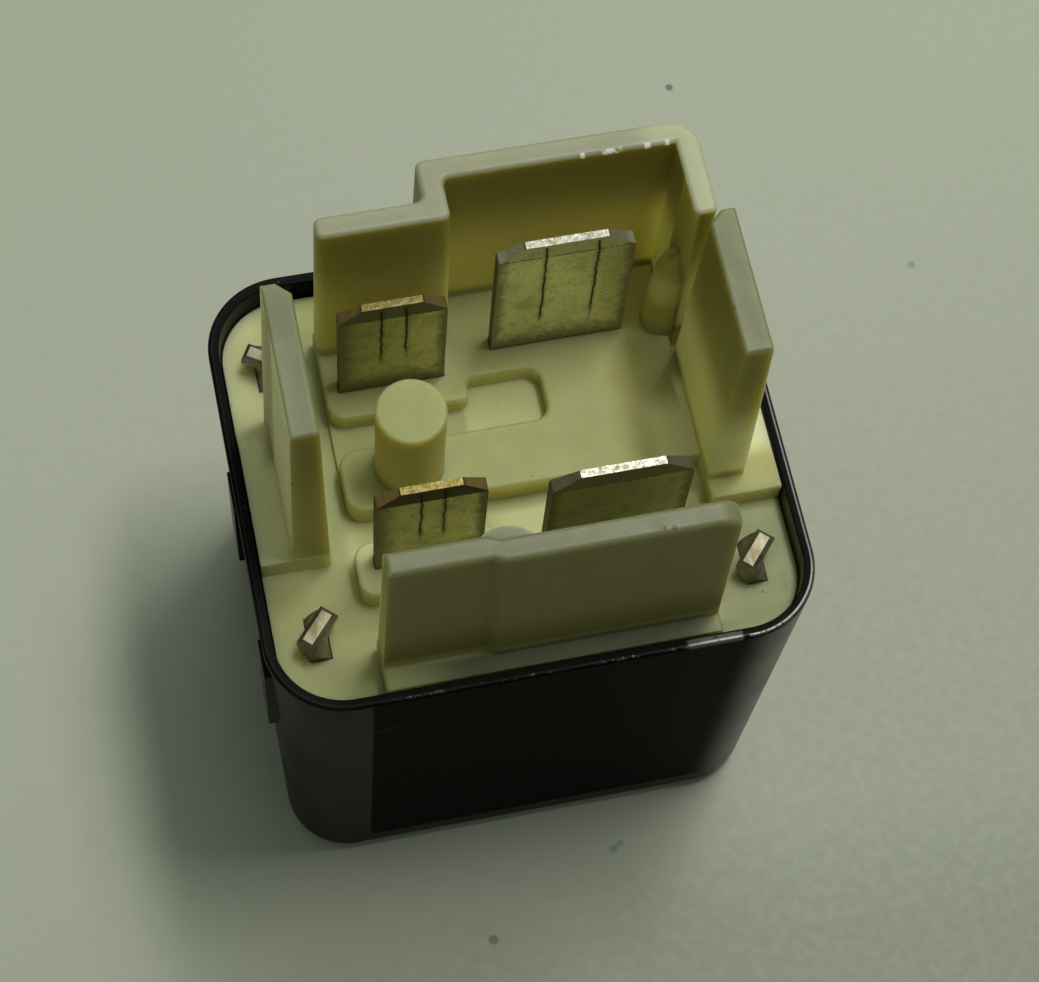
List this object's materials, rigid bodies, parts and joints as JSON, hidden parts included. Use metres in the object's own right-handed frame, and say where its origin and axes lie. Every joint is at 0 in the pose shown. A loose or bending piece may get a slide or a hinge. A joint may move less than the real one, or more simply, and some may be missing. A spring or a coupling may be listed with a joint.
{
  "type": "automotive relay",
  "caption": "Plug-in automotive relay with a drawn steel can, moulded base, shroud walls and blade terminals; inside, a coil pulls a sprung clapper that closes the contacts.",
  "frame": {"origin": "centre of the can's closed end, on the surface that the relay stands on", "axes": "+Z from the closed end up to the blade tips, +X along the can's longer side towards the return wall, +Y towards the back shroud wall"},
  "size_m": [0.0326, 0.028, 0.0462],
  "materials": {
    "can_paint": "semi-gloss black lacquer, worn bright along the rim",
    "base_nylon": "cream, slightly translucent, satin",
    "tinned_brass": "tinned, dulled faces with bright cut tips",
    "tab_brass": "bare, tarnished faces with bright cut tips",
    "frame_steel": "plated, dull, rubbed bright on edges",
    "core_iron": "plated soft iron, satin",
    "bobbin_nylon": "natural, satin",
    "enamelled_copper": "enamelled wire, glossy",
    "wrap_tape": "thin film, glossy",
    "leaf_bronze": "rolled, satin",
    "rivet_steel": "plated, headed",
    "contact_silver": "silver alloy, satin",
    "spring_steel": "drawn wire, oiled",
    "braid_copper": "stranded, dulled"
  },
  "bodies": {
    "relay_body": {"can": "can_paint", "base": "base_nylon", "load_terminal_fixed": "tinned_brass", "load_terminal_common": "tinned_brass", "coil_terminal_back": "tab_brass", "coil_terminal_front": "tab_brass", "yoke": "frame_steel", "core": "core_iron", "bobbin": "bobbin_nylon", "coil_winding": "enamelled_copper", "winding_tape": "wrap_tape", "coil_lead_back": "enamelled_copper", "coil_lead_front": "enamelled_copper", "fixed_contact": "contact_silver", "return_spring": "spring_steel", "braid": "braid_copper"},
    "armature_group": {"armature": "frame_steel", "contact_leaf": "leaf_bronze", "leaf_rivets": "rivet_steel", "moving_contact": "contact_silver"}
  },
  "joints": [
    {"name": "armature_pivot", "type": "hinge", "parent": "relay_body", "child": "armature_group", "pos_m": [-0.01295, 0, 0.0206], "axis": [0, 1, 0], "range_deg": [0, 2.1], "stiffness_Nm_per_rad": 0.004, "springref_deg": -22.92, "deforming": ["return_spring"]}
  ]
}
